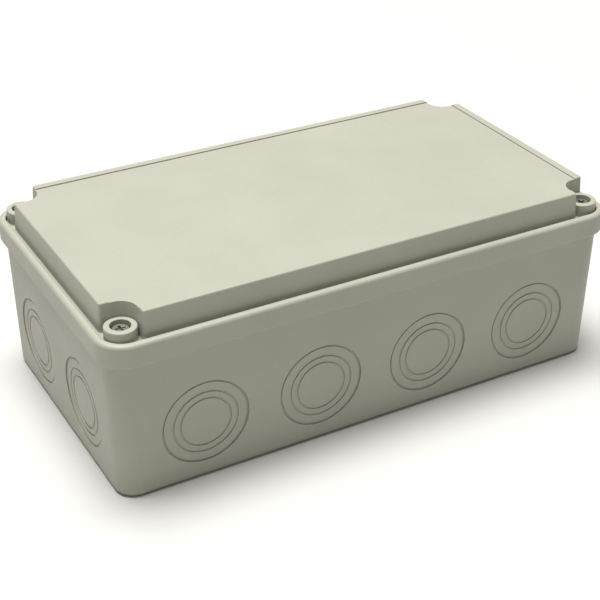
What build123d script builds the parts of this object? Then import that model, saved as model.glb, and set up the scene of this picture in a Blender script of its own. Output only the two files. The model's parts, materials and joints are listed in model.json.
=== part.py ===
from build123d import *
import math
import os

# A rectangular junction box in moulded plastic. The base is a deep shell with a thick collar round its
# rim. The lid drops inside the collar's lip, and four captive screws hold it in its notched corners.
# Inside, a rail carries five screw terminals between two end stops.
#
# X runs along the length, Y from front to back, Z up. The origin is the centre of the underside.
# All sizes are in millimetres.

# ---------------------------------------------------------------- base
rim_length = 209.6          # outside of the collar
rim_width = 115.0
rim_height = 64.2           # underside to the top of the lip
collar_step = 2.2           # how far the collar stands out from the body
collar_height = 9.0
collar_chamfer = 0.8
lip_width = 2.8
lip_round_outside = 1.6
lip_round_inside = 0.7
body_corner = 8.6           # vertical corner radius of the body under the collar
draft = 1.0                 # degrees, the body narrows downwards
wall = 3.0
floor_thickness = 3.0
bottom_round = 2.4
seat_depth = 6.2            # from the top of the lip down to the gasket's seat

# ---------------------------------------------------------------- knockouts
knockout_radii = (16.8, 12.8, 10.1)
knockout_height = 23.6      # centre above the underside
knockout_pitch = 46.0
knockout_recess = 0.35      # how far the whole knockout lies back in its wall
groove_width = 0.8
groove_depth = 0.4          # below the recess
inner_groove_width = 1.2
knockout_web = 0.7          # plastic left between the outer and the inner groove

# ---------------------------------------------------------------- lid
panel_gap = 2.0             # from the inside of the lip to the raised panel
lid_rise = 9.0              # from the top of the lip up to the top of the panel's border
lid_wall = 2.5
lid_draft = 4.0             # degrees, the panel widens downwards
lid_top = 2.5
border_width = 3.4          # shallow raised border along the panel's edges
border_height = 0.5
panel_edge_round = 0.7
panel_corner_round = 0.8
flange_drop = 1.7           # from the top of the lip down to the flange
flange_thickness = 2.5
flange_clearance = 0.3
skirt_depth = 3.0
skirt_thickness = 1.7
skirt_clearance = 0.4

# ---------------------------------------------------------------- lid screws and their bosses
screw_inset = 9.35         # screw axis in from the collar's outer faces
boss_gap = 0.25             # between a boss and the round inside of the lip's corner
pocket_gap = 0.7            # between a boss and the panel's concave wall round it
boss_rise = 4.8             # above the flange
boss_edge_round = 0.5
boss_recess_radius = 3.65
boss_recess_depth = 4.6
boss_tube_gap = 0.35        # between the tube under a boss and the cavity's corner
screw_radius = 1.75
screw_length = 16.0
screw_tip_chamfer = 0.4
screw_head_radius = 3.0
screw_head_height = 2.4
screw_head_round = 0.4
drive_width = 0.9
drive_length = 3.8
drive_depth = 1.3
running_clearance = 0.05
screw_hole_clearance = 0.1
seal_height = 1.0
seal_radius = 3.3
seal_gap = 0.03
seal_round = 0.3
post_radius = 5.2
post_drop = 1.6             # from the skirt's lower edge down to the top of the post
post_gap = 0.2
insert_radius = 2.6
insert_length = 7.0
insert_drop = 0.2
insert_knurls = 16
knurl_radius = 0.25
tip_room = 2.0

# ---------------------------------------------------------------- gasket
gasket_clearance = 0.2

# ---------------------------------------------------------------- fixing to the wall
fixing_inset_x = 24.8       # hole in from the collar's outer faces
fixing_inset_y = 16.5
fixing_hole_radius = 2.6
fixing_seat = 1.0           # shoulder above the floor for the head of the wall screw
fixing_tube_radius = 7.4
fixing_tube_height = 18.0
fixing_recess_radius = 5.0
plug_depth = 3.0
plug_clearance = 0.02
plug_flange = 1.2
plug_flange_radius = 6.6
plug_flange_round = 0.4
plug_slot_width = 1.2
plug_slot_depth = 0.7
plug_slot_length = 8.0

# ---------------------------------------------------------------- rail
rail_end_room = 19.6        # from the end of the rail to the wall
rail_width = 35.0
rail_hat_width = 27.0
rail_height = 7.5
rail_sheet = 1.0
rail_bend = 0.6
rail_slot_length = 15.0
rail_slot_width = 5.2
rail_slot_pitch = 25.0
rail_boss_height = 6.0
rail_boss_length = 16.0
rail_screw_radius = 1.95
rail_screw_length = 8.0
rail_screw_head_radius = 3.9
rail_screw_head_height = 2.2
rail_screw_clearance = 0.05
rail_screw_tip_room = 0.4

# ---------------------------------------------------------------- terminals
terminal_pitch = 6.2
terminal_gap = 0.1
through_terminals = 4       # the earth terminal follows them
terminal_half_length = 21.2
terminal_height = 40.0      # above the rail's underside
shoulder_height = 35.0
side_height = 31.5
shoulder_reach = 18.2
marker_reach = 8.5
terminal_wall = 0.8
rail_fit = 0.15
hook_reach = 1.4
hook_depth = 1.8
clamp_offset = 14.0         # clamp screw axis from the middle of the rail
chamber_length = 8.0
chamber_bottom = 16.8       # above the rail's underside
chamber_top = 29.6
bar_height = 22.0
bar_thickness = 1.4
bar_width = 3.0
bar_overhang = 3.2
bar_slot_clearance = 0.05
cage_width = 4.8
cage_length = 6.6
cage_wall = 0.8
cage_top_wall = 1.8
wire_room = 3.8
bar_clearance = 0.3
clamp_radius = 1.5
clamp_head_radius = 2.0
clamp_head_height = 1.8
clamp_head_step = 1.4       # from the roof of the chamber up to the head
clamp_head_gap = 0.1
clamp_slot_width = 0.7
clamp_slot_depth = 1.0
clamp_well_clearance = 0.1
clamp_tip_gap = 0.05
wire_entry_radius = 1.95
end_plate_thickness = 1.5

# ---------------------------------------------------------------- end stops and the earth foot
end_stop_width = 8.0
end_stop_half_length = 20.5
end_stop_height = 22.0
end_stop_screw_radius = 1.95
end_stop_head_radius = 3.0
end_stop_head_height = 2.2
end_stop_clearance = 0.05
earth_foot_sheet = 1.2
earth_foot_width = 3.6
earth_foot_clearance = 0.05

# ---------------------------------------------------------------- worked out from the above
slope = math.tan(math.radians(draft))
body_length = rim_length - 2 * collar_step
body_width = rim_width - 2 * collar_step
collar_bottom = rim_height - collar_height
seat_z = rim_height - seat_depth
lip_inside_length = rim_length - 2 * lip_width
lip_inside_width = rim_width - 2 * lip_width
rim_corner = body_corner + collar_step
lip_inside_corner = rim_corner - lip_width
cavity_length = body_length - 2 * wall
cavity_width = body_width - 2 * wall
cavity_corner = body_corner - wall
knockout_edge = knockout_radii[0] + body_corner     # nearest a knockout's centre comes to a wall's end
long_wall_knockouts = int((body_length - 2 * knockout_edge) // knockout_pitch) + 1
short_wall_knockouts = int((body_width - 2 * knockout_edge) // knockout_pitch) + 1

lid_length = lip_inside_length - 2 * panel_gap
lid_width = lip_inside_width - 2 * panel_gap
lid_height = rim_height + lid_rise
flange_top = rim_height - flange_drop
flange_bottom = flange_top - flange_thickness
field_z = lid_height - border_height
hollow_z = field_z - lid_top
skirt_length = cavity_length - 2 * skirt_clearance
skirt_width = cavity_width - 2 * skirt_clearance
skirt_corner = cavity_corner - skirt_clearance
skirt_bottom = flange_bottom - skirt_depth

screw_x = rim_length / 2 - screw_inset
screw_y = rim_width / 2 - screw_inset
corner_offset = math.hypot(rim_corner - screw_inset, rim_corner - screw_inset)
boss_radius = lip_inside_corner - corner_offset - boss_gap
boss_tube_radius = cavity_corner - corner_offset - boss_tube_gap
pocket_radius = boss_radius + pocket_gap
pocket_x = screw_x - pocket_radius
pocket_y = screw_y - pocket_radius
boss_top = flange_top + boss_rise
recess_z = boss_top - boss_recess_depth
head_z = recess_z + seal_height + 2 * seal_gap
screw_tip_z = head_z - screw_length
post_top = skirt_bottom - post_drop
insert_top = post_top - insert_drop
fixing_spacing_x = rim_length - 2 * fixing_inset_x
fixing_spacing_y = rim_width - 2 * fixing_inset_y

rail_length = cavity_length - 2 * rail_end_room
rail_slots = int(rail_length // rail_slot_pitch)
rail_z = floor_thickness + rail_boss_height
rail_top = rail_z + rail_height
rail_screw_x = rail_slot_pitch * (rail_slots - 1) / 2
terminal_width = terminal_pitch - terminal_gap
terminal_count = through_terminals + 1
metal_x = terminal_wall / 2             # middle of the metal parts, off the middle of the housing
bar_z = rail_z + bar_height
cage_inner_top = bar_z + bar_thickness + bar_clearance
cage_inner_bottom = bar_z - wire_room
chamber_roof = rail_z + chamber_top
clamp_head_z = chamber_roof + clamp_head_step
clamp_tip_z = bar_z + bar_thickness + clamp_tip_gap
terminal_xs = [terminal_pitch * (n - (terminal_count - 1) / 2) for n in range(terminal_count)]
end_plate_x = terminal_xs[-1] + terminal_pitch / 2
left_stop_x = terminal_xs[0] - terminal_pitch / 2 - end_stop_width / 2
right_stop_x = end_plate_x + end_plate_thickness + terminal_gap + end_stop_width / 2
stop_top = rail_z + end_stop_height

corners = {"front_left": (-screw_x, -screw_y), "front_right": (screw_x, -screw_y),
           "back_left": (-screw_x, screw_y), "back_right": (screw_x, screw_y)}
sides = {"front": -clamp_offset, "back": clamp_offset}
rail_screw_places = [(-rail_screw_x, 0), (rail_screw_x, 0)]
stop_screw_places = [(left_stop_x, 0), (right_stop_x, 0)]
touching = 0.001            # two positions nearer than this are one

os.makedirs("parts", exist_ok=True)


def save(part, name):
    """Label one finished piece and write it."""
    part.label = name
    export_step(part, f"parts/{name}.step")


def save_moved(part, name, x, y):
    """Write a copy of a repeated piece, moved along X and Y."""
    save(part.moved(Location((x, y, 0))), name)


def wall_plane(side, along):
    """A plane on the outside of a wall at knockout height, leaning with the draft."""
    lean = math.radians(draft)
    narrow = (collar_bottom - knockout_height) * slope
    sign = -1 if side in ("front", "left") else 1
    if side in ("front", "back"):
        origin = (along, sign * (body_width / 2 - narrow), knockout_height)
        return Plane(origin=origin, x_dir=(1, 0, 0), z_dir=(0, sign * math.cos(lean), -math.sin(lean)))
    origin = (sign * (body_length / 2 - narrow), along, knockout_height)
    return Plane(origin=origin, x_dir=(0, 1, 0), z_dir=(sign * math.cos(lean), 0, -math.sin(lean)))


def at_height(edges, z):
    """The edges that lie flat at one height."""
    return edges.filter_by_position(Axis.Z, z - touching, z + touching)


def cross_recess(z, places):
    """Outline of a screw's cross recess at each place, on a plane at one height."""
    with BuildSketch(Plane.XY.offset(z)) as outline:
        with Locations(*places):
            Rectangle(drive_length, drive_width)
            Rectangle(drive_width, drive_length)
    return outline.sketch


knockout_planes = []
for side, count in (("front", long_wall_knockouts), ("back", long_wall_knockouts),
                    ("left", short_wall_knockouts), ("right", short_wall_knockouts)):
    for n in range(count):
        knockout_planes.append(wall_plane(side, (n - (count - 1) / 2) * knockout_pitch))

# ---------------------------------------------------------------- base
with BuildPart() as base:
    # The body, wider at the top by the draft.
    with BuildSketch(Plane.XY):
        narrow = collar_bottom * slope
        RectangleRounded(body_length - 2 * narrow, body_width - 2 * narrow, body_corner - narrow)
    with BuildSketch(Plane.XY.offset(collar_bottom)):
        RectangleRounded(body_length, body_width, body_corner)
    loft(ruled=True)
    fillet(base.faces().sort_by(Axis.Z)[0].edges(), bottom_round)

    # The collar, with a chamfer under it and a round along the lip.
    with BuildSketch(Plane.XY.offset(collar_bottom)):
        RectangleRounded(rim_length - 2 * collar_chamfer, rim_width - 2 * collar_chamfer,
                         rim_corner - collar_chamfer)
    with BuildSketch(Plane.XY.offset(collar_bottom + collar_chamfer)):
        RectangleRounded(rim_length, rim_width, rim_corner)
    loft(ruled=True)
    with BuildSketch(Plane.XY.offset(collar_bottom + collar_chamfer)):
        RectangleRounded(rim_length, rim_width, rim_corner)
    extrude(amount=collar_height - collar_chamfer)
    fillet(base.faces().sort_by(Axis.Z)[-1].edges(), lip_round_outside)

    # Room for the lid inside the lip, down to the gasket's seat.
    with BuildSketch(Plane.XY.offset(seat_z)):
        RectangleRounded(lip_inside_length, lip_inside_width, lip_inside_corner)
    extrude(amount=seat_depth, mode=Mode.SUBTRACT)
    fillet(base.faces().sort_by(Axis.Z)[-1].inner_wires()[0].edges(), lip_round_inside)

    # The inside of the box.
    with BuildSketch(Plane.XY.offset(floor_thickness)):
        narrow = (collar_bottom - floor_thickness) * slope
        RectangleRounded(cavity_length - 2 * narrow, cavity_width - 2 * narrow, cavity_corner - narrow)
    with BuildSketch(Plane.XY.offset(seat_z)):
        narrow = (collar_bottom - seat_z) * slope
        RectangleRounded(cavity_length - 2 * narrow, cavity_width - 2 * narrow, cavity_corner - narrow)
    loft(ruled=True, mode=Mode.SUBTRACT)

    # Knockouts, a little recessed: a groove outside and a wider one inside leave a thin web on each ring.
    for plane in knockout_planes:
        with BuildSketch(plane):
            Circle(knockout_radii[0])
        extrude(amount=-knockout_recess, mode=Mode.SUBTRACT)
        with BuildSketch(plane.offset(-knockout_recess)):
            for radius in knockout_radii:
                Circle(radius)
                Circle(radius - groove_width, mode=Mode.SUBTRACT)
        extrude(amount=-groove_depth, mode=Mode.SUBTRACT)
        with BuildSketch(plane.offset(-knockout_recess - groove_depth - knockout_web)):
            for radius in knockout_radii:
                Circle(radius)
                Circle(radius - inner_groove_width, mode=Mode.SUBTRACT)
        extrude(amount=-wall, mode=Mode.SUBTRACT)

    # Screw posts in the corners, bored for the inserts and for the screws' tips.
    with BuildSketch(Plane.XY.offset(floor_thickness / 2)):
        with Locations(*corners.values()):
            Circle(post_radius)
    extrude(amount=post_top - floor_thickness / 2)
    with BuildSketch(Plane.XY.offset(post_top)):
        with Locations(*corners.values()):
            Circle(insert_radius)
    extrude(amount=insert_top - insert_length - post_top, mode=Mode.SUBTRACT)
    with BuildSketch(Plane.XY.offset(screw_tip_z - tip_room)):
        with Locations(*corners.values()):
            Circle(screw_radius + screw_hole_clearance)
    extrude(amount=insert_length + tip_room, mode=Mode.SUBTRACT)

    # Bosses under the rail.
    with BuildSketch(Plane.XY.offset(floor_thickness)):
        with Locations(*rail_screw_places):
            Rectangle(rail_boss_length, rail_hat_width)
    extrude(amount=rail_boss_height)
    with BuildSketch(Plane.XY.offset(rail_z)):
        with Locations(*rail_screw_places):
            Circle(rail_screw_radius + rail_screw_clearance)
    extrude(amount=rail_sheet - rail_screw_length - rail_screw_tip_room, mode=Mode.SUBTRACT)

    # Tubes over the wall-fixing holes.
    with BuildSketch(Plane.XY.offset(floor_thickness)):
        with GridLocations(fixing_spacing_x, fixing_spacing_y, 2, 2):
            Circle(fixing_tube_radius)
    extrude(amount=fixing_tube_height)
    with BuildSketch(Plane.XY.offset(floor_thickness + fixing_seat)):
        with GridLocations(fixing_spacing_x, fixing_spacing_y, 2, 2):
            Circle(fixing_recess_radius)
    extrude(amount=fixing_tube_height - fixing_seat, mode=Mode.SUBTRACT)
    with BuildSketch(Plane.XY):
        with GridLocations(fixing_spacing_x, fixing_spacing_y, 2, 2):
            Circle(fixing_hole_radius)
    extrude(amount=floor_thickness + fixing_seat, mode=Mode.SUBTRACT)
save(base.part, "base")

# ---------------------------------------------------------------- lid
with BuildSketch() as panel_outline:
    Rectangle(lid_length, lid_width)
    with GridLocations(lid_length, lid_width, 2, 2):
        Rectangle(lid_length - 2 * pocket_x, lid_width - 2 * pocket_y, mode=Mode.SUBTRACT)
    inner_x, inner_y = lid_length / 2 - touching, lid_width / 2 - touching
    fillet(panel_outline.vertices().filter_by(lambda v: abs(v.X) < inner_x and abs(v.Y) < inner_y),
           pocket_radius)
    fillet(panel_outline.vertices().filter_by(lambda v: abs(v.X) > inner_x or abs(v.Y) > inner_y),
           panel_corner_round)

with BuildPart() as lid:
    # Raised panel with a shallow border, which stops at the corner pockets.
    with BuildSketch(Plane.XY.offset(lid_height)):
        add(panel_outline.sketch)
    extrude(amount=flange_top - lid_height, taper=-lid_draft)
    fillet(lid.faces().sort_by(Axis.Z)[-1].edges(), panel_edge_round)
    with BuildSketch(Plane.XY.offset(field_z)):
        Rectangle(lid_length - 2 * border_width, lid_width - 2 * border_width)
    extrude(amount=border_height, mode=Mode.SUBTRACT)

    # Flange that lies on the gasket.
    with BuildSketch(Plane.XY.offset(flange_bottom)):
        RectangleRounded(lip_inside_length - 2 * flange_clearance, lip_inside_width - 2 * flange_clearance,
                         lip_inside_corner - flange_clearance)
    extrude(amount=flange_thickness)

    # Skirt that centres the lid in the base.
    with BuildSketch(Plane.XY.offset(skirt_bottom)):
        RectangleRounded(skirt_length, skirt_width, skirt_corner)
        RectangleRounded(skirt_length - 2 * skirt_thickness, skirt_width - 2 * skirt_thickness,
                         skirt_corner - skirt_thickness, mode=Mode.SUBTRACT)
    extrude(amount=skirt_depth)

    # Hollow under the panel.
    with BuildSketch(Plane.XY.offset(flange_bottom)):
        add(panel_outline.sketch)
        offset(amount=-lid_wall, kind=Kind.INTERSECTION)
    extrude(amount=hollow_z - flange_bottom, mode=Mode.SUBTRACT)

    # Screw bosses.
    with BuildSketch(Plane.XY.offset(flange_bottom)):
        with Locations(*corners.values()):
            Circle(boss_radius)
    extrude(amount=boss_top - flange_bottom)
    fillet(at_height(lid.edges(), boss_top), boss_edge_round)
    with BuildSketch(Plane.XY.offset(post_top + post_gap)):
        with Locations(*corners.values()):
            Circle(boss_tube_radius)
    extrude(amount=flange_bottom - post_top - post_gap)
    with BuildSketch(Plane.XY.offset(recess_z)):
        with Locations(*corners.values()):
            Circle(boss_recess_radius)
    extrude(amount=boss_recess_depth, mode=Mode.SUBTRACT)
    with BuildSketch(Plane.XY.offset(post_top)):
        with Locations(*corners.values()):
            Circle(screw_radius + screw_hole_clearance)
    extrude(amount=recess_z - post_top, mode=Mode.SUBTRACT)
save(lid.part, "lid")

# ---------------------------------------------------------------- gasket
with BuildPart() as gasket:
    with BuildSketch(Plane.XY.offset(seat_z)):
        RectangleRounded(lip_inside_length - 2 * gasket_clearance, lip_inside_width - 2 * gasket_clearance,
                         lip_inside_corner - gasket_clearance)
        RectangleRounded(cavity_length + 2 * gasket_clearance, cavity_width + 2 * gasket_clearance,
                         cavity_corner + gasket_clearance, mode=Mode.SUBTRACT)
    extrude(amount=flange_bottom - seat_z)
save(gasket.part, "gasket")

# ---------------------------------------------------------------- threaded inserts in the posts
with BuildPart() as thread_inserts:
    with BuildSketch(Plane.XY.offset(insert_top - insert_length)):
        with Locations(*corners.values()):
            Circle(insert_radius)
            Circle(screw_radius + running_clearance, mode=Mode.SUBTRACT)
            with PolarLocations(insert_radius, insert_knurls):
                Circle(knurl_radius, mode=Mode.SUBTRACT)
    extrude(amount=insert_length)
save(thread_inserts.part, "thread_inserts")

# ---------------------------------------------------------------- lid screws and their seals
with BuildPart() as lid_screw:
    with BuildSketch(Plane.XY.offset(screw_tip_z)):
        Circle(screw_radius)
    extrude(amount=screw_length)
    chamfer(lid_screw.edges().sort_by(Axis.Z)[0], screw_tip_chamfer)
    with BuildSketch(Plane.XY.offset(head_z)):
        Circle(screw_head_radius)
    extrude(amount=screw_head_height)
    fillet(lid_screw.edges().sort_by(Axis.Z)[-1], screw_head_round)
    extrude(cross_recess(head_z + screw_head_height, [(0, 0)]), amount=-drive_depth, mode=Mode.SUBTRACT)

with BuildPart() as screw_seal:
    with BuildSketch(Plane.XY.offset(recess_z + seal_gap)):
        Circle(seal_radius)
        Circle(screw_radius + running_clearance, mode=Mode.SUBTRACT)
    extrude(amount=seal_height)
    fillet(screw_seal.edges().filter_by(GeomType.CIRCLE).sort_by(SortBy.RADIUS)[-2:], seal_round)

for name, (x, y) in corners.items():
    save_moved(lid_screw.part, f"lid_screw_{name}", x, y)
    save_moved(screw_seal.part, f"screw_seal_{name}", x, y)

# ---------------------------------------------------------------- plugs over the wall-fixing holes
plug_z = floor_thickness + fixing_tube_height
with BuildPart() as fixing_plugs:
    with BuildSketch(Plane.XY.offset(plug_z - plug_depth)):
        with GridLocations(fixing_spacing_x, fixing_spacing_y, 2, 2):
            Circle(fixing_recess_radius - plug_clearance)
    extrude(amount=plug_depth)
    with BuildSketch(Plane.XY.offset(plug_z)):
        with GridLocations(fixing_spacing_x, fixing_spacing_y, 2, 2):
            Circle(plug_flange_radius)
    extrude(amount=plug_flange)
    fillet(at_height(fixing_plugs.edges(), plug_z + plug_flange), plug_flange_round)
    with BuildSketch(Plane.XY.offset(plug_z + plug_flange)):
        with GridLocations(fixing_spacing_x, fixing_spacing_y, 2, 2):
            SlotOverall(plug_slot_length, plug_slot_width)
    extrude(amount=-plug_slot_depth, mode=Mode.SUBTRACT)
save(fixing_plugs.part, "fixing_plugs")

# ---------------------------------------------------------------- rail and its screws
hat = rail_hat_width / 2
with BuildPart() as rail:
    with BuildSketch(Plane.YZ.offset(-rail_length / 2)) as rail_section:
        with BuildLine():
            Polyline((0, rail_z), (hat, rail_z), (hat, rail_top - rail_sheet),
                     (rail_width / 2, rail_top - rail_sheet), (rail_width / 2, rail_top),
                     (hat - rail_sheet, rail_top), (hat - rail_sheet, rail_z + rail_sheet),
                     (0, rail_z + rail_sheet), (0, rail_z))
        make_face()
        inner_hat, outer_hat = hat - rail_sheet - touching, hat + touching
        fillet(rail_section.vertices().filter_by(lambda v: inner_hat < v.X < outer_hat), rail_bend)
        mirror(about=Plane.YZ)
    extrude(amount=rail_length)
    with BuildSketch(Plane.XY.offset(rail_z)):
        with GridLocations(rail_slot_pitch, 1, rail_slots, 1):
            SlotOverall(rail_slot_length, rail_slot_width)
    extrude(amount=rail_sheet, mode=Mode.SUBTRACT)
save(rail.part, "rail")

with BuildPart() as rail_screws:
    with BuildSketch(Plane.XY.offset(rail_z + rail_sheet)):
        with Locations(*rail_screw_places):
            Circle(rail_screw_radius)
    extrude(amount=-rail_screw_length)
    with BuildSketch(Plane.XY.offset(rail_z + rail_sheet)):
        with Locations(*rail_screw_places):
            Circle(rail_screw_head_radius)
    extrude(amount=rail_screw_head_height)
    rail_head_z = rail_z + rail_sheet + rail_screw_head_height
    fillet(at_height(rail_screws.edges(), rail_head_z), screw_head_round)
    extrude(cross_recess(rail_head_z, rail_screw_places), amount=-drive_depth, mode=Mode.SUBTRACT)
save(rail_screws.part, "rail_screws")


def rail_grip(half_length):
    """One half of the outline where a housing hooks round the rail, from the middle outwards."""
    seat = rail_top + rail_fit
    under = rail_top - rail_sheet - rail_fit
    edge = rail_width / 2 + rail_fit
    tip = rail_width / 2 - hook_reach
    return [(0, seat), (edge, seat), (edge, under), (tip, under), (tip, under - hook_depth),
            (half_length, under - hook_depth)]


# ---------------------------------------------------------------- terminal housings and end plate
with BuildSketch(Plane.YZ) as terminal_outline:
    with BuildLine():
        Polyline(*rail_grip(terminal_half_length),
                 (terminal_half_length, rail_z + side_height),
                 (shoulder_reach, rail_z + shoulder_height),
                 (marker_reach + terminal_height - shoulder_height, rail_z + shoulder_height),
                 (marker_reach, rail_z + terminal_height), (0, rail_z + terminal_height),
                 (0, rail_top + rail_fit))
    make_face()
    mirror(about=Plane.YZ)

open_face = terminal_width / 2
with BuildPart() as terminal_housing:
    with BuildSketch(Plane.YZ.offset(-open_face)):
        add(terminal_outline.sketch_local)
    extrude(amount=terminal_width)
    # The chambers for the clamps, open towards the next housing.
    chamber_middle = rail_z + (chamber_bottom + chamber_top) / 2
    with BuildSketch(Plane.YZ.offset(open_face)):
        with Locations((-clamp_offset, chamber_middle), (clamp_offset, chamber_middle)):
            Rectangle(chamber_length, chamber_top - chamber_bottom)
    extrude(amount=terminal_wall - terminal_width, mode=Mode.SUBTRACT)
    # The slot for the current bar.
    with BuildSketch(Plane.YZ.offset(open_face)):
        with Locations((0, bar_z + bar_thickness / 2)):
            Rectangle(2 * clamp_offset, bar_thickness + 2 * bar_slot_clearance)
    extrude(amount=metal_x - bar_width / 2 - bar_slot_clearance - open_face, mode=Mode.SUBTRACT)
    # Wells for the clamp screws and entries for the wires.
    with BuildSketch(Plane.XY.offset(chamber_roof)):
        with Locations((metal_x, -clamp_offset), (metal_x, clamp_offset)):
            Circle(clamp_radius + clamp_well_clearance)
    extrude(amount=clamp_head_step, mode=Mode.SUBTRACT)
    with BuildSketch(Plane.XY.offset(clamp_head_z - clamp_head_gap)):
        with Locations((metal_x, -clamp_offset), (metal_x, clamp_offset)):
            Circle(clamp_head_radius + clamp_well_clearance)
    extrude(amount=terminal_height - chamber_top, mode=Mode.SUBTRACT)
    with BuildSketch(Plane.XZ.offset(-terminal_half_length)):
        with Locations((metal_x, bar_z - wire_room / 2)):
            Circle(wire_entry_radius)
    extrude(amount=terminal_half_length - clamp_offset, mode=Mode.SUBTRACT)
    with BuildSketch(Plane.XZ.offset(terminal_half_length)):
        with Locations((metal_x, bar_z - wire_room / 2)):
            Circle(wire_entry_radius)
    extrude(amount=clamp_offset - terminal_half_length, mode=Mode.SUBTRACT)

foot_seat = rail_top + rail_fit
foot_middle = metal_x - earth_foot_width / 2
with BuildPart() as earth_housing:
    add(terminal_housing.part)
    # Room for the earth foot. Half of the first rectangle lies in the housing's open mouth.
    with BuildSketch(Plane.YZ.offset(open_face)):
        with Locations((0, foot_seat)):
            Rectangle(rail_width, 2 * earth_foot_sheet)
        with Locations((0, (foot_seat + bar_z) / 2)):
            Rectangle(earth_foot_sheet, bar_z - foot_seat)
    extrude(amount=foot_middle - open_face, mode=Mode.SUBTRACT)

with BuildPart() as end_plate:
    with BuildSketch(Plane.YZ.offset(end_plate_x)):
        add(terminal_outline.sketch_local)
    extrude(amount=end_plate_thickness)

for number, x in enumerate(terminal_xs[:-1], start=1):
    save_moved(terminal_housing.part, f"terminal_housing_{number}", x, 0)
save_moved(earth_housing.part, "earth_housing", terminal_xs[-1], 0)
save(end_plate.part, "end_plate")

# ---------------------------------------------------------------- current bars and the earth foot
with BuildPart() as current_bar:
    with BuildSketch(Plane.XY.offset(bar_z)):
        with Locations((metal_x, 0)):
            Rectangle(bar_width, 2 * (clamp_offset + bar_overhang))
    extrude(amount=bar_thickness)

with BuildPart() as earth_foot:
    with BuildSketch(Plane.YZ.offset(foot_middle)):
        with Locations((0, rail_top + (rail_fit + earth_foot_sheet) / 2)):
            Rectangle(rail_width - 2 * rail_fit, rail_fit + earth_foot_sheet - earth_foot_clearance)
        with Locations((0, (foot_seat + bar_z) / 2)):
            Rectangle(earth_foot_sheet - earth_foot_clearance, bar_z - foot_seat)
    extrude(amount=earth_foot_width)
save_moved(earth_foot.part, "earth_foot", terminal_xs[-1], 0)

# ---------------------------------------------------------------- clamp cages and clamp screws
with BuildPart() as clamp_cage:
    cage_bottom = cage_inner_bottom - cage_wall
    cage_height = cage_inner_top + cage_top_wall - cage_bottom
    with BuildSketch(Plane.XZ.offset(-cage_length / 2)):
        with Locations((metal_x, cage_bottom + cage_height / 2)):
            Rectangle(cage_width, cage_height)
        with Locations((metal_x, (cage_inner_bottom + cage_inner_top) / 2)):
            Rectangle(cage_width - 2 * cage_wall, cage_inner_top - cage_inner_bottom, mode=Mode.SUBTRACT)
    extrude(amount=cage_length)
    with BuildSketch(Plane.XY.offset(cage_inner_top)):
        with Locations((metal_x, 0)):
            Circle(clamp_radius + running_clearance)
    extrude(amount=cage_top_wall, mode=Mode.SUBTRACT)

with BuildPart() as clamp_screw:
    with BuildSketch(Plane.XY.offset(clamp_tip_z)):
        with Locations((metal_x, 0)):
            Circle(clamp_radius)
    extrude(amount=clamp_head_z - clamp_tip_z)
    with BuildSketch(Plane.XY.offset(clamp_head_z)):
        with Locations((metal_x, 0)):
            Circle(clamp_head_radius)
    extrude(amount=clamp_head_height)
    with BuildSketch(Plane.XY.offset(clamp_head_z + clamp_head_height)):
        with Locations((metal_x, 0)):
            Rectangle(2 * clamp_head_radius, clamp_slot_width)
    extrude(amount=-clamp_slot_depth, mode=Mode.SUBTRACT)

for number, x in enumerate(terminal_xs, start=1):
    save_moved(current_bar.part, f"current_bar_{number}", x, 0)
    for side, y in sides.items():
        save_moved(clamp_cage.part, f"clamp_cage_{number}_{side}", x, y)
        save_moved(clamp_screw.part, f"clamp_screw_{number}_{side}", x, y)

# ---------------------------------------------------------------- end stops and their screws
with BuildPart() as end_stop:
    with BuildSketch(Plane.YZ.offset(-end_stop_width / 2)):
        with BuildLine():
            Polyline(*rail_grip(end_stop_half_length),
                     (end_stop_half_length, rail_top + hook_depth), (end_stop_half_length / 2, stop_top),
                     (0, stop_top), (0, rail_top + rail_fit))
        make_face()
        mirror(about=Plane.YZ)
    extrude(amount=end_stop_width)
    with BuildSketch(Plane.XY.offset(rail_top)):
        Circle(end_stop_screw_radius + end_stop_clearance)
    extrude(amount=end_stop_height, mode=Mode.SUBTRACT)
save_moved(end_stop.part, "end_stop_left", left_stop_x, 0)
save_moved(end_stop.part, "end_stop_right", right_stop_x, 0)

with BuildPart() as end_stop_screws:
    with BuildSketch(Plane.XY.offset(rail_z + rail_sheet)):
        with Locations(*stop_screw_places):
            Circle(end_stop_screw_radius)
    extrude(amount=stop_top - rail_z - rail_sheet)
    with BuildSketch(Plane.XY.offset(stop_top)):
        with Locations(*stop_screw_places):
            Circle(end_stop_head_radius)
    extrude(amount=end_stop_head_height)
    stop_head_z = stop_top + end_stop_head_height
    fillet(at_height(end_stop_screws.edges(), stop_head_z), screw_head_round)
    extrude(cross_recess(stop_head_z, stop_screw_places), amount=-drive_depth, mode=Mode.SUBTRACT)
save(end_stop_screws.part, "end_stop_screws")
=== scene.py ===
"""Looks of a moulded plastic junction box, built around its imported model.

The box has a drafted base with knockout rings, a lid that drops inside the base's lip, four
captive screws, and a rail of screw terminals inside. Every object is in metres, in the frame of
the model.
"""

import json
import logging
import math
from dataclasses import dataclass
from enum import Enum
from typing import Any, Iterable, Optional, Sequence

import bmesh
import bpy
from mathutils import Matrix, Vector

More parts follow.
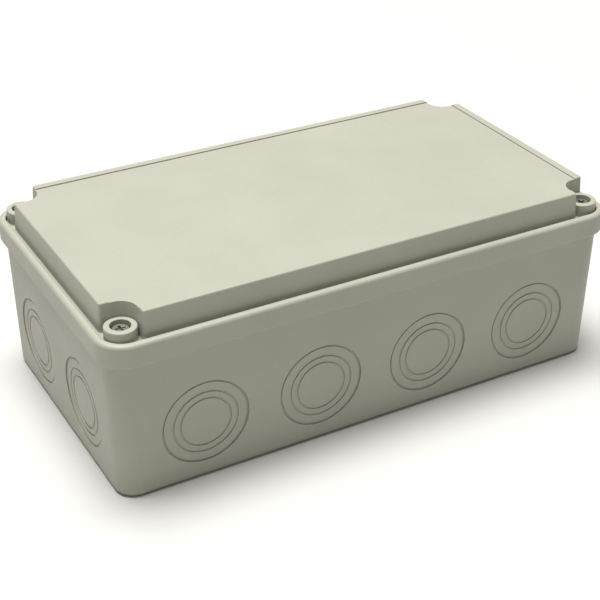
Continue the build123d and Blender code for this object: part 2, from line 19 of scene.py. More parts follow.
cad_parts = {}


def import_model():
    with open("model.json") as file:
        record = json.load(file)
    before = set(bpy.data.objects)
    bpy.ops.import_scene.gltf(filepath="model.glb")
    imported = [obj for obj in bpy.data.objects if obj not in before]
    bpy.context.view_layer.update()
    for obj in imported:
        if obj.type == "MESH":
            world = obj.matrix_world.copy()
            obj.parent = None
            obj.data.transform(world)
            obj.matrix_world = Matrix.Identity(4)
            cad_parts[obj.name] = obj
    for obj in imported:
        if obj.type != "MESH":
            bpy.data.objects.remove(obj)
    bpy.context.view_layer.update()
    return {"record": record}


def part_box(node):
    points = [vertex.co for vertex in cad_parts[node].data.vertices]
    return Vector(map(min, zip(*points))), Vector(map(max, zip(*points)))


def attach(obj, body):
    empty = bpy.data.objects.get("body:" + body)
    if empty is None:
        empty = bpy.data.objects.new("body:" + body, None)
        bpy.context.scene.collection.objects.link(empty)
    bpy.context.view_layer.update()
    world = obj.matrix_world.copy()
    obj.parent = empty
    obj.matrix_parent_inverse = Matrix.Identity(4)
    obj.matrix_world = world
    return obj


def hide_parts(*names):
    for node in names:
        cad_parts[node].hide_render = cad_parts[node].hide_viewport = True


log = logging.getLogger("junction_box")
MM = 0.001

MERGE_MM = 0.002        # corners closer than this are one corner
DEGENERATE_MM = 0.001   # edges shorter than this are dropped
FLAT_DEG = 0.4          # faces that turn by less than this are one face
EDGE_STEPS = 2          # segments across an edge break
FACE_WEIGHT = 100       # how far the larger faces lead the normals, out of 100
RIDGE_SIDES = 4         # corners of a thread's section
CORE_SIDES = 32         # facets round a screw's core
ROUND_STEPS = 5         # steps round a small corner
PLACE_DIGITS = 6        # places are compared to a micron


def srgb(code: str) -> tuple[float, float, float, float]:
    """Turn an sRGB hex colour into linear RGBA.

    Args:
        code: six hex digits, such as "c8c7bc".

    Returns:
        Linear red, green and blue, and an alpha of 1.
    """
    parts = [int(code[i:i + 2], 16) / 255 for i in (0, 2, 4)]
    linear = [p / 12.92 if p <= 0.04045 else ((p + 0.055) / 1.055) ** 2.4 for p in parts]
    return (linear[0], linear[1], linear[2], 1.0)


def add_node(tree: bpy.types.NodeTree, kind: str, settings: Optional[dict[str, Any]] = None,
             inputs: Optional[dict[Any, Any]] = None) -> bpy.types.Node:
    """Add one node to a shader or geometry tree.

    Args:
        tree: the tree.
        kind: the node's type name.
        settings: properties of the node itself.
        inputs: input name or index to a value, or to the socket that feeds it.

    Returns:
        The new node.
    """
    node = tree.nodes.new(kind)
    for name, value in (settings or {}).items():
        setattr(node, name, value)
    for key, value in (inputs or {}).items():
        if isinstance(value, bpy.types.NodeSocket):
            tree.links.new(value, node.inputs[key])
        else:
            node.inputs[key].default_value = value
    return node


# ------------------------------------------------------------------ finishes

@dataclass(frozen=True)
class Finish:
    """What every finish has: a name, an sRGB colour and a roughness."""

    name: str
    colour: str
    roughness: float

    def material(self) -> bpy.types.Material:
        """The finish's material, made the first time it is asked for.

        Returns:
            The material, with its patterns in millimetres of object space.
        """
        made = bpy.data.materials.get(self.name)
        if made is None:
            made = bpy.data.materials.new(self.name)
            made.use_nodes = True
            tree = made.node_tree
            where = add_node(tree, "ShaderNodeTexCoord").outputs["Object"]
            place = add_node(tree, "ShaderNodeVectorMath", {"operation": "SCALE"},
                             {0: where, "Scale": 1 / MM}).outputs[0]
            self.dress(tree, tree.nodes["Principled BSDF"], place)
        return made

    def dress(self, tree: bpy.types.NodeTree, shader: bpy.types.Node, place: Any) -> None:
        """Lay the finish's patterns on the shader.

        Args:
            tree: the material's tree.
            shader: the Principled shader.
            place: object coordinates in millimetres.
        """
        raise NotImplementedError


@dataclass(frozen=True)
class MouldedPlastic(Finish):
    """Injection-moulded plastic.

    The spark-eroded mould leaves a fine even grain and a soft, low gloss. The melt's flow leaves
    broad faint clouds, and handling varies the gloss a little.
    """

    refraction: float = 1.53
    grain_mm: float = 0.45
    grain_depth_mm: float = 0.02
    grain_strength: float = 0.7
    flow_mm: float = 45.0
    flow_shade: float = 0.04
    flow_span: tuple[float, float] = (0.45, 0.9)
    fleck_grains: float = 4.0
    fleck_share: float = 0.35
    handled_mm: float = 18.0
    handled_span: tuple[float, float] = (0.25, 0.75)
    handled_gloss: float = 0.06

    def body_colour(self, tree: bpy.types.NodeTree, place: Any) -> Any:
        """The moulding's own colour, drifting between two near shades.

        Args:
            tree: the material's tree.
            place: object coordinates in millimetres.

        Returns:
            The colour's socket.
        """
        flow = add_node(tree, "ShaderNodeTexNoise", None, {
            "Vector": place, "Scale": 1 / self.flow_mm, "Detail": 3.0}).outputs["Fac"]
        fleck = add_node(tree, "ShaderNodeTexNoise", None, {
            "Vector": place, "Scale": 1 / (self.fleck_grains * self.grain_mm),
            "Detail": 3.0}).outputs["Fac"]
        share = add_node(tree, "ShaderNodeMath", {"operation": "MULTIPLY_ADD"},
                         {0: fleck, 1: self.fleck_share, 2: flow}).outputs[0]
        base = srgb(self.colour)
        low, high = (tuple(part * (1 + sign * self.flow_shade) for part in base[:3]) + (1.0,)
                     for sign in (-1, 1))
        span = add_node(tree, "ShaderNodeMapRange", None, {
            "Value": share, "From Min": self.flow_span[0],
            "From Max": self.flow_span[1]}).outputs[0]
        return add_node(tree, "ShaderNodeMix", {"data_type": "RGBA"},
                        {0: span, 6: low, 7: high}).outputs[2]

    def dress(self, tree: bpy.types.NodeTree, shader: bpy.types.Node, place: Any) -> None:
        """Lay the colour, the drift in gloss and the grain on the shader.

        Args:
            tree: the material's tree.
            shader: the Principled shader.
            place: object coordinates in millimetres.
        """
        shader.inputs["IOR"].default_value = self.refraction
        tree.links.new(self.body_colour(tree, place), shader.inputs["Base Color"])
        handled = add_node(tree, "ShaderNodeTexNoise", None, {
            "Vector": place, "Scale": 1 / self.handled_mm, "Detail": 5.0,
            "Roughness": 0.6}).outputs["Fac"]
        gloss = add_node(tree, "ShaderNodeMapRange", None, {
            "Value": handled, "From Min": self.handled_span[0], "From Max": self.handled_span[1],
            "To Min": self.roughness - self.handled_gloss,
            "To Max": self.roughness + self.handled_gloss}).outputs[0]
        tree.links.new(gloss, shader.inputs["Roughness"])
        # Real spark grain is about 0.1 mm across. It is drawn several times coarser to show.
        grain = add_node(tree, "ShaderNodeTexNoise", None, {
            "Vector": place, "Scale": 1 / self.grain_mm, "Detail": 2.0}).outputs["Fac"]
        normal = add_node(tree, "ShaderNodeBump", None, {
            "Height": grain, "Strength": self.grain_strength,
            "Distance": self.grain_depth_mm * MM}).outputs["Normal"]
        tree.links.new(normal, shader.inputs["Normal"])


@dataclass(frozen=True)
class TwoColourPlastic(MouldedPlastic):
    """Moulded plastic in two colours, with one along the middle of the housing."""

    middle_colour: str = "3f7d2f"
    middle_half_mm: float = 8.5

    def body_colour(self, tree: bpy.types.NodeTree, place: Any) -> Any:
        """The outer colour, with the middle one within a distance of the rail's centre line.

        Args:
            tree: the material's tree.
            place: object coordinates in millimetres.

        Returns:
            The colour's socket.
        """
        outer = MouldedPlastic.body_colour(self, tree, place)
        along = add_node(tree, "ShaderNodeSeparateXYZ", None, {0: place}).outputs["Y"]
        away = add_node(tree, "ShaderNodeMath", {"operation": "ABSOLUTE"}, {0: along}).outputs[0]
        inside = add_node(tree, "ShaderNodeMath", {"operation": "LESS_THAN"},
                          {0: away, 1: self.middle_half_mm}).outputs[0]
        return add_node(tree, "ShaderNodeMix", {"data_type": "RGBA"},
                        {0: inside, 6: outer, 7: srgb(self.middle_colour)}).outputs[2]


@dataclass(frozen=True)
class WorkedMetal(Finish):
    """Metal with fine marks one way, left by rolling or turning, under a thin cloudy film."""

    film: str = "aeb6bc"
    film_share: float = 0.35
    film_mm: float = 6.0
    marks_mm: float = 0.15
    marks_along_mm: float = 8.0
    marks_axis: int = 0
    marks_depth_mm: float = 0.006
    marks_strength: float = 0.6
    span: tuple[float, float] = (0.3, 0.7)
    smoother: float = 0.08
    rougher: float = 0.1

    def dress(self, tree: bpy.types.NodeTree, shader: bpy.types.Node, place: Any) -> None:
        """Lay the film and the marks on the shader.

        Args:
            tree: the material's tree.
            shader: the Principled shader.
            place: object coordinates in millimetres.
        """
        shader.inputs["Metallic"].default_value = 1.0
        cloud = add_node(tree, "ShaderNodeTexNoise", None, {
            "Vector": place, "Scale": 1 / self.film_mm, "Detail": 5.0}).outputs["Fac"]
        share = add_node(tree, "ShaderNodeMapRange", None, {
            "Value": cloud, "From Min": self.span[0], "From Max": self.span[1],
            "To Max": self.film_share}).outputs[0]
        tint = add_node(tree, "ShaderNodeMix", {"data_type": "RGBA"},
                        {0: share, 6: srgb(self.colour), 7: srgb(self.film)}).outputs[2]
        tree.links.new(tint, shader.inputs["Base Color"])
        stretch = [1 / self.marks_mm] * 3
        stretch[self.marks_axis] = 1 / self.marks_along_mm
        lines = add_node(tree, "ShaderNodeMapping", None,
                         {"Vector": place, "Scale": stretch}).outputs[0]
        marks = add_node(tree, "ShaderNodeTexNoise", None,
                         {"Vector": lines, "Scale": 1.0, "Detail": 3.0}).outputs["Fac"]
        gloss = add_node(tree, "ShaderNodeMapRange", None, {
            "Value": marks, "From Min": self.span[0], "From Max": self.span[1],
            "To Min": self.roughness - self.smoother,
            "To Max": self.roughness + self.rougher}).outputs[0]
        tree.links.new(gloss, shader.inputs["Roughness"])
        normal = add_node(tree, "ShaderNodeBump", None, {
            "Height": marks, "Strength": self.marks_strength,
            "Distance": self.marks_depth_mm * MM}).outputs["Normal"]
        tree.links.new(normal, shader.inputs["Normal"])


@dataclass(frozen=True)
class MouldedRubber(Finish):
    """Rubber: dull and nearly black, with small cells in its skin and a little pale dust."""

    cell_mm: float = 0.5
    cell_depth_mm: float = 0.06
    cell_strength: float = 0.6
    cell_gloss: float = 0.12
    dust: str = "5a5a55"
    dust_share: float = 0.25
    dust_mm: float = 4.0
    dust_span: tuple[float, float] = (0.45, 0.75)

    def dress(self, tree: bpy.types.NodeTree, shader: bpy.types.Node, place: Any) -> None:
        """Lay the cells and the dust on the shader.

        Args:
            tree: the material's tree.
            shader: the Principled shader.
            place: object coordinates in millimetres.
        """
        cells = add_node(tree, "ShaderNodeTexVoronoi", None,
                         {"Vector": place, "Scale": 1 / self.cell_mm}).outputs["Distance"]
        gloss = add_node(tree, "ShaderNodeMapRange", None, {
            "Value": cells, "To Min": self.roughness,
            "To Max": self.roughness - self.cell_gloss}).outputs[0]
        tree.links.new(gloss, shader.inputs["Roughness"])
        settled = add_node(tree, "ShaderNodeTexNoise", None, {
            "Vector": place, "Scale": 1 / self.dust_mm, "Detail": 6.0}).outputs["Fac"]
        share = add_node(tree, "ShaderNodeMapRange", None, {
            "Value": settled, "From Min": self.dust_span[0], "From Max": self.dust_span[1],
            "To Max": self.dust_share}).outputs[0]
        tint = add_node(tree, "ShaderNodeMix", {"data_type": "RGBA"},
                        {0: share, 6: srgb(self.colour), 7: srgb(self.dust)}).outputs[2]
        tree.links.new(tint, shader.inputs["Base Color"])
        normal = add_node(tree, "ShaderNodeBump", None, {
            "Height": cells, "Strength": self.cell_strength,
            "Distance": self.cell_depth_mm * MM}).outputs["Normal"]
        tree.links.new(normal, shader.inputs["Normal"])


class Look(Enum):
    """Every finish on the box, named after the record's material slots."""

    # ABS, injection moulded: a warm grey that stays matte in the light.
    BOX_PLASTIC = MouldedPlastic("moulded_abs_warm_grey", "a4a395", 0.5)
    # EPDM foam cord: dull black with open cells.
    GASKET_RUBBER = MouldedRubber("epdm_foam_black", "1d1d1b", 0.88)
    # Nitrile rubber, moulded: smoother and a little shinier than the foam.
    SEAL_RUBBER = MouldedRubber("nitrile_rubber_black", "161616", 0.6,
                                cell_mm=0.2, cell_depth_mm=0.008)
    # Free-cutting brass, turned and knurled: warm yellow with fine rings.
    BRASS = WorkedMetal("turned_brass", "d9b36a", 0.3, film="a8793a")
    # Low-density polyethylene, moulded: a waxy grey.
    PLUG_PLASTIC = MouldedPlastic("moulded_polyethylene_grey", "96958a", 0.46)
    # Steel strip with bright zinc: cool, with drawn lines along the rail.
    ZINC_STEEL = WorkedMetal("zinc_plated_steel", "c9cdd1", 0.36, film="98a2aa")
    # Stainless steel, satin: grey with fine turning marks.
    LID_SCREW_STEEL = WorkedMetal("satin_stainless_steel", "aeada4", 0.42,
                                  film="8b897f", marks_mm=0.1)
    # Passivated zinc on steel: a faint straw tint.
    CLAMP_STEEL = WorkedMetal("passivated_zinc_steel", "cfcab4", 0.34, film="c0ab62")
    # Tinned copper: whitish and cloudy.
    TINNED_COPPER = WorkedMetal("tinned_copper", "d6d4cc", 0.32,
                                film="c9b39a", marks_axis=1)
    # Polyamide, moulded: mid grey with a soft sheen.
    TERMINAL_PLASTIC = MouldedPlastic("moulded_polyamide_grey", "8b8e8f", 0.42,
                                      grain_mm=0.3, flow_mm=15.0)
    # Polyamide in the two colours that mark protective earth.
    EARTH_PLASTIC = TwoColourPlastic("moulded_polyamide_green_yellow", "d9c81a", 0.42,
                                     grain_mm=0.3, flow_mm=15.0)
    # Polyamide, moulded: dark grey.
    STOP_PLASTIC = MouldedPlastic("moulded_polyamide_dark_grey", "66686a", 0.45,
                                  grain_mm=0.3, flow_mm=15.0)
    # Polycarbonate, moulded: the clean matte white of the marker tags.
    TAG = MouldedPlastic("moulded_polycarbonate_white", "e2e2dc", 0.4,
                         grain_mm=0.3, flow_mm=8.0)


# ------------------------------------------------------------------ studio

@dataclass
class Studio:
    """Plain pale floor, soft light and the camera. Angles are in degrees, lengths in metres."""

    azimuth: float = -29.25
    elevation: float = 30.74
    roll: float = -0.22
    distance: float = 0.5569
    aim_right: float = -0.00116
    aim_up: float = 0.02093
    lens: float = 82.16
    nearest: float = 0.01
    floor_size: float = 12.0
    floor_colour: str = "cccbc8"
    floor_roughness: float = 0.95
    surround: float = 0.3
    surround_colour: str = "faf8f3"
    lamp_place: tuple[float, float, float] = (-0.17, 0.22, 2.4)
    lamp_size: float = 1.3
    lamp_power: float = 96.0

    def camera(self) -> None:
        """Place the camera on its azimuth and elevation, aimed a little above the box's foot."""
        az, el = math.radians(self.azimuth), math.radians(self.elevation)
        back = Vector((math.sin(az) * math.cos(el), -math.cos(az) * math.cos(el), math.sin(el)))
        right = Vector((math.cos(az), math.sin(az), 0.0))
        up = back.cross(right)
        data = bpy.data.cameras.new("camera")
        data.lens = self.lens
        data.clip_start = self.nearest
        camera = bpy.data.objects.new("camera", data)
        camera.matrix_world = (
            Matrix.Translation(back * self.distance + right * self.aim_right + up * self.aim_up)
            @ Matrix((right, up, back)).transposed().to_4x4()
            @ Matrix.Rotation(math.radians(-self.roll), 4, "Z"))
        bpy.context.scene.collection.objects.link(camera)
        bpy.context.scene.camera = camera

    def lamp(self) -> None:
        """Hang a square softbox high over the box, a little to its back left."""
        data = bpy.data.lights.new("softbox", "AREA")
        data.shape = "SQUARE"
        data.size = self.lamp_size
        data.energy = self.lamp_power
        lamp = bpy.data.objects.new("softbox", data)
        lamp.location = self.lamp_place
        lamp.rotation_euler = (-Vector(self.lamp_place)).to_track_quat("-Z", "Y").to_euler()
        bpy.context.scene.collection.objects.link(lamp)

    def floor(self) -> None:
        """Lay a pale matte floor, which is part of the stage."""
        half = self.floor_size / 2
        mesh = bpy.data.meshes.new("floor")
        corners = [(-half, -half, 0), (half, -half, 0), (half, half, 0), (-half, half, 0)]
        mesh.from_pydata(corners, [], [(0, 1, 2, 3)])
        floor = link("floor", mesh)
        material = bpy.data.materials.new("pale_studio_floor")
        material.use_nodes = True
        shader = material.node_tree.nodes["Principled BSDF"]
        shader.inputs["Base Color"].default_value = srgb(self.floor_colour)
        shader.inputs["Roughness"].default_value = self.floor_roughness
        shader.inputs["Specular IOR Level"].default_value = 0.0
        mesh.materials.append(material)

    def build(self) -> None:
        """Set up the floor, the softbox, the surrounding light and the camera."""
        scene = bpy.context.scene
        scene.view_settings.view_transform = "Standard"
        scene.world = bpy.data.worlds.new("surround")
        scene.world.use_nodes = True
        glow = scene.world.node_tree.nodes["Background"]
        glow.inputs["Color"].default_value = srgb(self.surround_colour)
        glow.inputs["Strength"].default_value = self.surround
        self.camera()
        self.floor()
        self.lamp()


# ------------------------------------------------------------------ shared ways of making a piece

def link(name: str, mesh: bpy.types.Mesh) -> bpy.types.Object:
    """Put a mesh into the scene, unmoved.

    Args:
        name: the object's name.
        mesh: its mesh.

    Returns:
        The object.
    """
    made = bpy.data.objects.new(name, mesh)
    bpy.context.scene.collection.objects.link(made)
    return made


def settle(piece: bpy.types.Object) -> None:
    """Turn a piece's live modifiers into its mesh.

    Args:
        piece: the object.
    """
    graph = bpy.context.evaluated_depsgraph_get()
    mesh = bpy.data.meshes.new_from_object(piece.evaluated_get(graph))
    old = piece.data
    piece.modifiers.clear()
    piece.data = mesh
    bpy.data.meshes.remove(old)


def merged_copy(node: str, above: Optional[float] = None) -> bpy.types.Mesh:
    """Copy a modelled node with its triangles joined, ready for edge work.

    Args:
        node: the node's name.
        above: height under which the copy is cut away and closed, or None for all of it.

    Returns:
        The new mesh.
    """
    mesh = bpy.data.objects[node].data.copy()
    work = bmesh.new()
    work.from_mesh(mesh)
    bmesh.ops.remove_doubles(work, verts=work.verts, dist=MERGE_MM * MM)
    bmesh.ops.dissolve_degenerate(work, edges=work.edges, dist=DEGENERATE_MM * MM)
    if above is not None:
        bmesh.ops.bisect_plane(work, geom=work.verts[:] + work.edges[:] + work.faces[:],
                               plane_co=(0, 0, above), plane_no=(0, 0, -1), clear_outer=True)
        bmesh.ops.holes_fill(work, edges=[e for e in work.edges if e.is_boundary])
    bmesh.ops.dissolve_limit(work, angle_limit=math.radians(FLAT_DEG), verts=work.verts,
                             edges=work.edges)
    work.to_mesh(mesh)
    work.free()
    mesh.materials.clear()
    return mesh


def joined(meshes: Iterable[bpy.types.Mesh], name: str) -> bpy.types.Mesh:
    """Gather meshes into one, and drop the parts.

    Args:
        meshes: the parts.
        name: the new mesh's name.

    Returns:
        One mesh with all of them.
    """
    work = bmesh.new()
    for part in meshes:
        work.from_mesh(part)
        bpy.data.meshes.remove(part)
    made = bpy.data.meshes.new(name)
    work.to_mesh(made)
    work.free()
    return made


def break_edges(piece: bpy.types.Object, width_mm: float, sharp_deg: float = 28.0) -> None:
    """Break the sharp edges of a piece, and shade it smooth with its flats kept flat.

    Args:
        piece: the object.
        width_mm: width of the edge break.
        sharp_deg: edges turned by more than this are broken.
    """
    bevel = piece.modifiers.new("edge_break", "BEVEL")
    bevel.width = width_mm * MM
    bevel.segments = EDGE_STEPS
    bevel.limit_method = "ANGLE"
    bevel.angle_limit = math.radians(sharp_deg)
    settle(piece)
    piece.data.shade_smooth()
    piece.data.set_sharp_from_angle(angle=math.radians(2 * sharp_deg))
    even = piece.modifiers.new("even_normals", "WEIGHTED_NORMAL")
    even.keep_sharp = True
    even.weight = FACE_WEIGHT
    settle(piece)


class Model:
    """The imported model: which body each node rides on, and its slot."""

    def __init__(self, record: dict[str, Any]) -> None:
        """Read the bodies and slots.

        Args:
            record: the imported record.
        """
        self.body_of = {node: body for body, nodes in record["behaviour"]["bodies"].items()
                        for node in nodes}
        self.slot_of = {row["node"]: row["material_slot"] for row in record["subparts"]}

    def finish(self, piece: bpy.types.Object, node: str, replaces: bool = True,
               look: Optional[Look] = None) -> None:
        """Dress a piece, and put it on the body of a node.

        Args:
            piece: the finished object.
            node: the node whose body and slot it takes.
            replaces: whether the piece stands for the node.
            look: a finish of its own, or None for the slot's.
        """
        slot = self.slot_of[node]
        piece.data.materials.clear()
        piece.data.materials.append((look or Look[slot.upper()]).value.material())
        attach(piece, self.body_of[node])
        if replaces:
            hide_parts(node)
        log.info("%s on %s: %d faces", piece.name, self.body_of[node], len(piece.data.polygons))

    def refine(self, node: str, edge_mm: float) -> None:
        """Stand a refined copy in for a node: joined faces, broken edges and its finish.

        Args:
            node: the node's name.
            edge_mm: width of the edge break.
        """
        piece = link(f"{node}_piece", merged_copy(node))
        break_edges(piece, edge_mm)
        self.finish(piece, node)


class Recipe:
    """A geometry node tree with named inputs, which ends in one realised mesh."""

    def __init__(self, name: str, sizes: dict[str, Any]) -> None:
        """Start the tree.

        Args:
            name: the tree's name.
            sizes: each input's name and its default: a number, a whole number or a place.
        """
        self.tree = bpy.data.node_groups.new(name, "GeometryNodeTree")
        kinds = {int: "NodeSocketInt", float: "NodeSocketFloat"}
        face = self.tree.interface
        for title, value in sizes.items():
            kind = kinds.get(type(value), "NodeSocketVector")
            socket = face.new_socket(title, in_out="INPUT", socket_type=kind)
            socket.default_value = value
        face.new_socket("Material", in_out="INPUT", socket_type="NodeSocketMaterial")
        face.new_socket("Geometry", in_out="OUTPUT", socket_type="NodeSocketGeometry")
        self.size = self.tree.nodes.new("NodeGroupInput").outputs

    def add(self, kind: str, settings: Optional[dict[str, Any]] = None,
            inputs: Optional[dict[Any, Any]] = None) -> Any:
        """Add a node to the tree.

        Args:
            kind: the node's type name.
            settings: properties of the node itself.
            inputs: input name or index to a value, or to the socket that feeds it.

        Returns:
            The node's first output.
        """
        return add_node(self.tree, kind, settings, inputs).outputs[0]

    def end(self, parts: Sequence[Any]) -> "Recipe":
        """Join the parts, realise the instances and set the material.

        Args:
            parts: sockets with geometry.

        Returns:
            This recipe.
        """
        both = add_node(self.tree, "GeometryNodeJoinGeometry")
        for part in parts:
            self.tree.links.new(part, both.inputs[0])
        solid = self.add("GeometryNodeRealizeInstances", None, {"Geometry": both.outputs[0]})
        dressed = self.add("GeometryNodeSetMaterial", None,
                           {"Geometry": solid, "Material": self.size["Material"]})
        output = self.tree.nodes.new("NodeGroupOutput")
        self.tree.links.new(dressed, output.inputs[0])
        return self

    def mesh(self, name: str, sizes: dict[str, Any], look: Look) -> bpy.types.Mesh:
        """Make a plain mesh from the tree.

        Args:
            name: the mesh's name.
            sizes: input names and values.
            look: the finish.

        Returns:
            The mesh.
        """
        holder = link(name, bpy.data.meshes.new(name))
        modifier = holder.modifiers.new(name, "NODES")
        modifier.node_group = self.tree
        sockets = {item.name: item.identifier for item in self.tree.interface.items_tree
                   if item.in_out == "INPUT"}
        for title, value in {**sizes, "Material": look.value.material()}.items():
            modifier[sockets[title]] = value
        graph = bpy.context.evaluated_depsgraph_get()
        made = bpy.data.meshes.new_from_object(holder.evaluated_get(graph))
        holder.modifiers.clear()
        empty = holder.data
        bpy.data.objects.remove(holder)
        bpy.data.meshes.remove(empty)
        return made


def thread_recipe() -> Recipe:
    """Threaded shank: a sharp ridge wound up a core, right-handed.

    Returns:
        The recipe, with sizes in metres.
    """
    made = Recipe("threaded_shank", {
        "Crest Radius": 0.00175, "Core Radius": 0.0014, "Pitch": 0.0006, "Length": 0.01,
        "Foot": (0.0, 0.0, 0.0), "Steps": 20})
    size = made.size
    turns = made.add("ShaderNodeMath", {"operation": "DIVIDE"},
                     {0: size["Length"], 1: size["Pitch"]})
    height = made.add("ShaderNodeMath", {"operation": "SUBTRACT"},
                      {0: size["Crest Radius"], 1: size["Core Radius"]})
    ridge = made.add("ShaderNodeMath", {"operation": "MULTIPLY"}, {0: height, 1: 0.5})
    middle = made.add("ShaderNodeMath", {"operation": "ADD"}, {0: size["Core Radius"], 1: ridge})
    helix = made.add("GeometryNodeCurveSpiral", None, {
        "Resolution": size["Steps"], "Rotations": turns, "Start Radius": middle,
        "End Radius": middle, "Height": size["Length"]})
    section = made.add("GeometryNodeCurvePrimitiveCircle", {"mode": "RADIUS"},
                       {"Resolution": RIDGE_SIDES, "Radius": ridge})
    wound = made.add("GeometryNodeCurveToMesh", None,
                     {"Curve": helix, "Profile Curve": section, "Fill Caps": True})
    core = made.add("GeometryNodeMeshCylinder", None, {
        "Vertices": CORE_SIDES, "Radius": size["Core Radius"], "Depth": size["Length"]})
    half = made.add("ShaderNodeMath", {"operation": "MULTIPLY"}, {0: size["Length"], 1: 0.5})
    rise = made.add("ShaderNodeCombineXYZ", None, {"Z": half})
    raised = made.add("GeometryNodeTransform", None, {"Geometry": core, "Translation": rise})
    return made.end([made.add("GeometryNodeTransform", None,
                              {"Geometry": part, "Translation": size["Foot"]})
                     for part in (wound, raised)])


def ring_recipe() -> Recipe:
    """Seal swept round a rounded rectangle, as a gasket or an O-ring is.

    Returns:
        The recipe, with sizes in metres.
    """
    made = Recipe("swept_seal", {
        "Length": 0.2, "Width": 0.1, "Corner": 0.008, "Section Width": 0.002,
        "Section Height": 0.002, "Section Round": 0.0008, "Centre": (0.0, 0.0, 0.0),
        "Corner Steps": 12})
    size = made.size
    outlines = []
    for width, height, corner, steps in (
            ("Length", "Width", "Corner", size["Corner Steps"]),
            ("Section Width", "Section Height", "Section Round", ROUND_STEPS)):
        plain = made.add("GeometryNodeCurvePrimitiveQuadrilateral", {"mode": "RECTANGLE"},
                         {"Width": size[width], "Height": size[height]})
        outlines.append(made.add("GeometryNodeFilletCurve", {"mode": "POLY"}, {
            "Curve": plain, "Radius": size[corner], "Count": steps, "Limit Radius": True}))
    swept = made.add("GeometryNodeCurveToMesh", None,
                     {"Curve": outlines[0], "Profile Curve": outlines[1]})
    return made.end([made.add("GeometryNodeTransform", None,
                              {"Geometry": swept, "Translation": size["Centre"]})])


def tag_recipe() -> Recipe:
    """Row of blank marker tags: rounded plates, one on each housing.

    Returns:
        The recipe, with sizes in metres.
    """
    made = Recipe("marker_tags", {
        "Tag Width": 0.005, "Tag Length": 0.008, "Tag Round": 0.0006, "Thickness": 0.0008,
        "Pitch": 0.0062, "Count": 5, "First": (0.0, 0.0, 0.0)})
    size = made.size
    plain = made.add("GeometryNodeCurvePrimitiveQuadrilateral", {"mode": "RECTANGLE"},
                     {"Width": size["Tag Width"], "Height": size["Tag Length"]})
    outline = made.add("GeometryNodeFilletCurve", {"mode": "POLY"}, {
        "Curve": plain, "Radius": size["Tag Round"], "Count": ROUND_STEPS, "Limit Radius": True})
    top = made.add("ShaderNodeCombineXYZ", None, {"Z": size["Thickness"]})
    rise = made.add("GeometryNodeCurvePrimitiveLine", None, {"End": top})
    plate = made.add("GeometryNodeCurveToMesh", None,
                     {"Curve": rise, "Profile Curve": outline, "Fill Caps": True})
    step = made.add("ShaderNodeCombineXYZ", None, {"X": size["Pitch"]})
    row = made.add("GeometryNodeMeshLine", None,
                   {"Count": size["Count"], "Start Location": size["First"], "Offset": step})
    return made.end([made.add("GeometryNodeInstanceOnPoints", None,
                              {"Points": row, "Instance": plate})])


# ------------------------------------------------------------------ sub-assemblies

@dataclass
class Enclosure:
    """The base with its knockouts, the lid, the brass inserts and the fixing plugs."""

    shell_edge_mm: float = 0.2
    small_edge_mm: float = 0.08

    def build(self, model: Model) -> None:
        """Refine each moulding.

        Args:
            model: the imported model.
        """
        for node in ("base", "lid"):
            model.refine(node, self.shell_edge_mm)
        for node in ("thread_inserts", "fixing_plugs"):
            model.refine(node, self.small_edge_mm)


@dataclass
class Seals:
    """Foam cord in the lid joint, and the O-rings under the screw heads."""

    cord_width_mm: float = 2.2
    cord_round_mm: float = 0.7
    cord_corner_mm: float = 8.0
    ring_width_mm: float = 1.5
    ring_round_mm: float = 0.45
    slack_mm: float = 0.04

    def sweep(self, model: Model, recipe: Recipe, node: str, width_mm: float, round_mm: float,
              corner_mm: float) -> None:
        """Sweep one seal inside its node's box.

        Args:
            model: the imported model.
            recipe: the swept seal.
            node: the node that it stands for.
            width_mm: width of its section.
            round_mm: corner of its section.
            corner_mm: outer corner of its path.
        """
        low, high = (Vector(corner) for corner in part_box(node))
        size, slack = high - low, self.slack_mm * MM
        mesh = recipe.mesh(f"{node}_swept", {
            "Length": size.x - width_mm * MM, "Width": size.y - width_mm * MM,
            "Corner": (corner_mm - width_mm / 2) * MM, "Section Width": width_mm * MM - slack,
            "Section Height": size.z - slack, "Section Round": round_mm * MM,
            "Centre": (low + high) / 2}, Look[model.slot_of[node].upper()])
        mesh.shade_smooth()
        model.finish(link(f"{node}_swept", mesh), node)

    def build(self, model: Model) -> None:
        """Sweep the gasket and each screw's O-ring.

        Args:
            model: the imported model.
        """
        recipe = ring_recipe()
        self.sweep(model, recipe, "gasket", self.cord_width_mm, self.cord_round_mm,
                   self.cord_corner_mm)
        for node in sorted(name for name in model.body_of if name.startswith("screw_seal_")):
            low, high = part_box(node)
            radius_mm = (high[0] - low[0]) / 2 / MM
            self.sweep(model, recipe, node, self.ring_width_mm, self.ring_round_mm,
                       radius_mm - self.slack_mm)


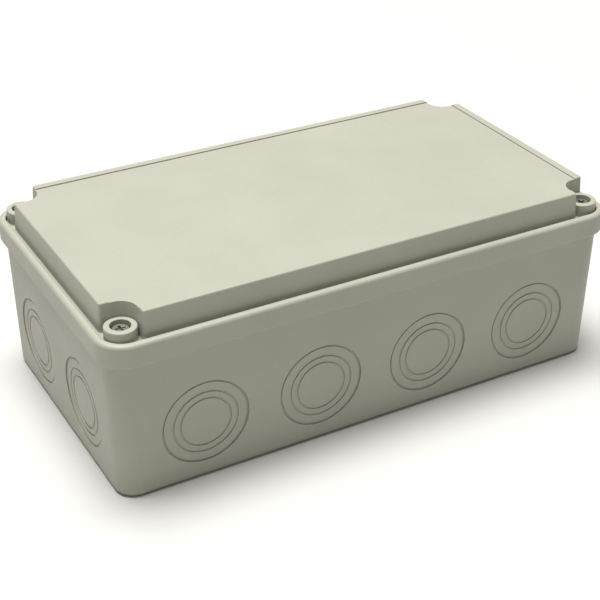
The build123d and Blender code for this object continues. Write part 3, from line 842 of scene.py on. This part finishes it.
@dataclass
class Screws:
    """Screws of one kind: turned heads with their recesses, on threaded shanks."""

    starts_with: str
    head_mm: float
    crest_mm: float
    core_mm: float
    pitch_mm: float
    head_radius_mm: float
    edge_mm: float = 0.06
    sunk_mm: float = 0.3

    def build(self, model: Model, recipe: Recipe) -> None:
        """Make each screw, or each pair that is one node.

        Args:
            model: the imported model.
            recipe: the threaded shank.
        """
        for node in sorted(name for name in model.body_of if name.startswith(self.starts_with)):
            low, high = (Vector(corner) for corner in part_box(node))
            under = high.z - self.head_mm * MM
            foot = low.z + (self.crest_mm - self.core_mm) / 2 * MM
            inset = self.head_radius_mm * MM
            head = link(f"{node}_threaded", merged_copy(node, under))
            break_edges(head, self.edge_mm)
            parts = [head.data.copy()]
            axes = {round(x, PLACE_DIGITS) for x in (low.x + inset, high.x - inset)}
            for x in sorted(axes):
                parts.append(recipe.mesh("shank", {
                    "Crest Radius": self.crest_mm * MM, "Core Radius": self.core_mm * MM,
                    "Pitch": self.pitch_mm * MM, "Length": under - foot + self.sunk_mm * MM,
                    "Foot": (x, (low.y + high.y) / 2, foot)}, Look[model.slot_of[node].upper()]))
            head.data = joined(parts, head.name)
            model.finish(head, node)


@dataclass
class RailUnit:
    """The pressed rail and the end stops on it."""

    rail_edge_mm: float = 0.12
    stop_edge_mm: float = 0.2

    def build(self, model: Model) -> None:
        """Refine the rail and the end stops.

        Args:
            model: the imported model.
        """
        model.refine("rail", self.rail_edge_mm)
        for node in ("end_stop_left", "end_stop_right"):
            model.refine(node, self.stop_edge_mm)


@dataclass
class TerminalRow:
    """The terminals on the rail: housings, current bars, clamp cages and blank marker tags."""

    housing_edge_mm: float = 0.12
    metal_edge_mm: float = 0.1
    tag_width_mm: float = 4.9
    tag_length_mm: float = 9.0
    tag_thickness_mm: float = 0.7

    def build(self, model: Model) -> None:
        """Refine the housings and metal parts, and lay the tags along the housings' tops.

        Args:
            model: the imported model.
        """
        housings = sorted(node for node in model.body_of
                          if node.startswith("terminal_housing_"))
        housings.append("earth_housing")
        for node in housings + ["end_plate"]:
            model.refine(node, self.housing_edge_mm)
        metal = ("current_bar_", "clamp_cage_", "earth_foot")
        for node in sorted(name for name in model.body_of if name.startswith(metal)):
            model.refine(node, self.metal_edge_mm)
        self.tags(model, housings)

    def tags(self, model: Model, housings: Sequence[str]) -> None:
        """Lay one tag on each housing.

        Args:
            model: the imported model.
            housings: the housings in their order on the rail.
        """
        boxes = [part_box(node) for node in housings]
        middles = [(low[0] + high[0]) / 2 for low, high in boxes]
        mesh = tag_recipe().mesh("marker_tags", {
            "Tag Width": self.tag_width_mm * MM, "Tag Length": self.tag_length_mm * MM,
            "Thickness": self.tag_thickness_mm * MM, "Pitch": middles[1] - middles[0],
            "Count": len(housings), "First": (middles[0], 0.0, boxes[0][1][2])}, Look.TAG)
        piece = link("marker_tags", mesh)
        break_edges(piece, self.metal_edge_mm)
        model.finish(piece, housings[0], replaces=False, look=Look.TAG)


def main() -> None:
    """Build the box one sub-assembly after another."""
    logging.basicConfig(level=logging.INFO, format="%(name)s %(message)s")
    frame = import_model()
    Studio().build()
    model = Model(frame["record"])
    Enclosure().build(model)
    Seals().build(model)
    thread = thread_recipe()
    for kind in (
            Screws("lid_screw_", head_mm=2.4, crest_mm=1.75, core_mm=1.42, pitch_mm=0.6,
                   head_radius_mm=3.0),
            Screws("clamp_screw_", head_mm=1.8, crest_mm=1.5, core_mm=1.22, pitch_mm=0.5,
                   head_radius_mm=2.0),
            Screws("rail_screws", head_mm=2.2, crest_mm=1.95, core_mm=1.5, pitch_mm=1.4,
                   head_radius_mm=3.9),
            Screws("end_stop_screws", head_mm=2.2, crest_mm=1.95, core_mm=1.6, pitch_mm=0.7,
                   head_radius_mm=3.0)):
        kind.build(model, thread)
    RailUnit().build(model)
    TerminalRow().build(model)


if __name__ == "__main__":
    main()
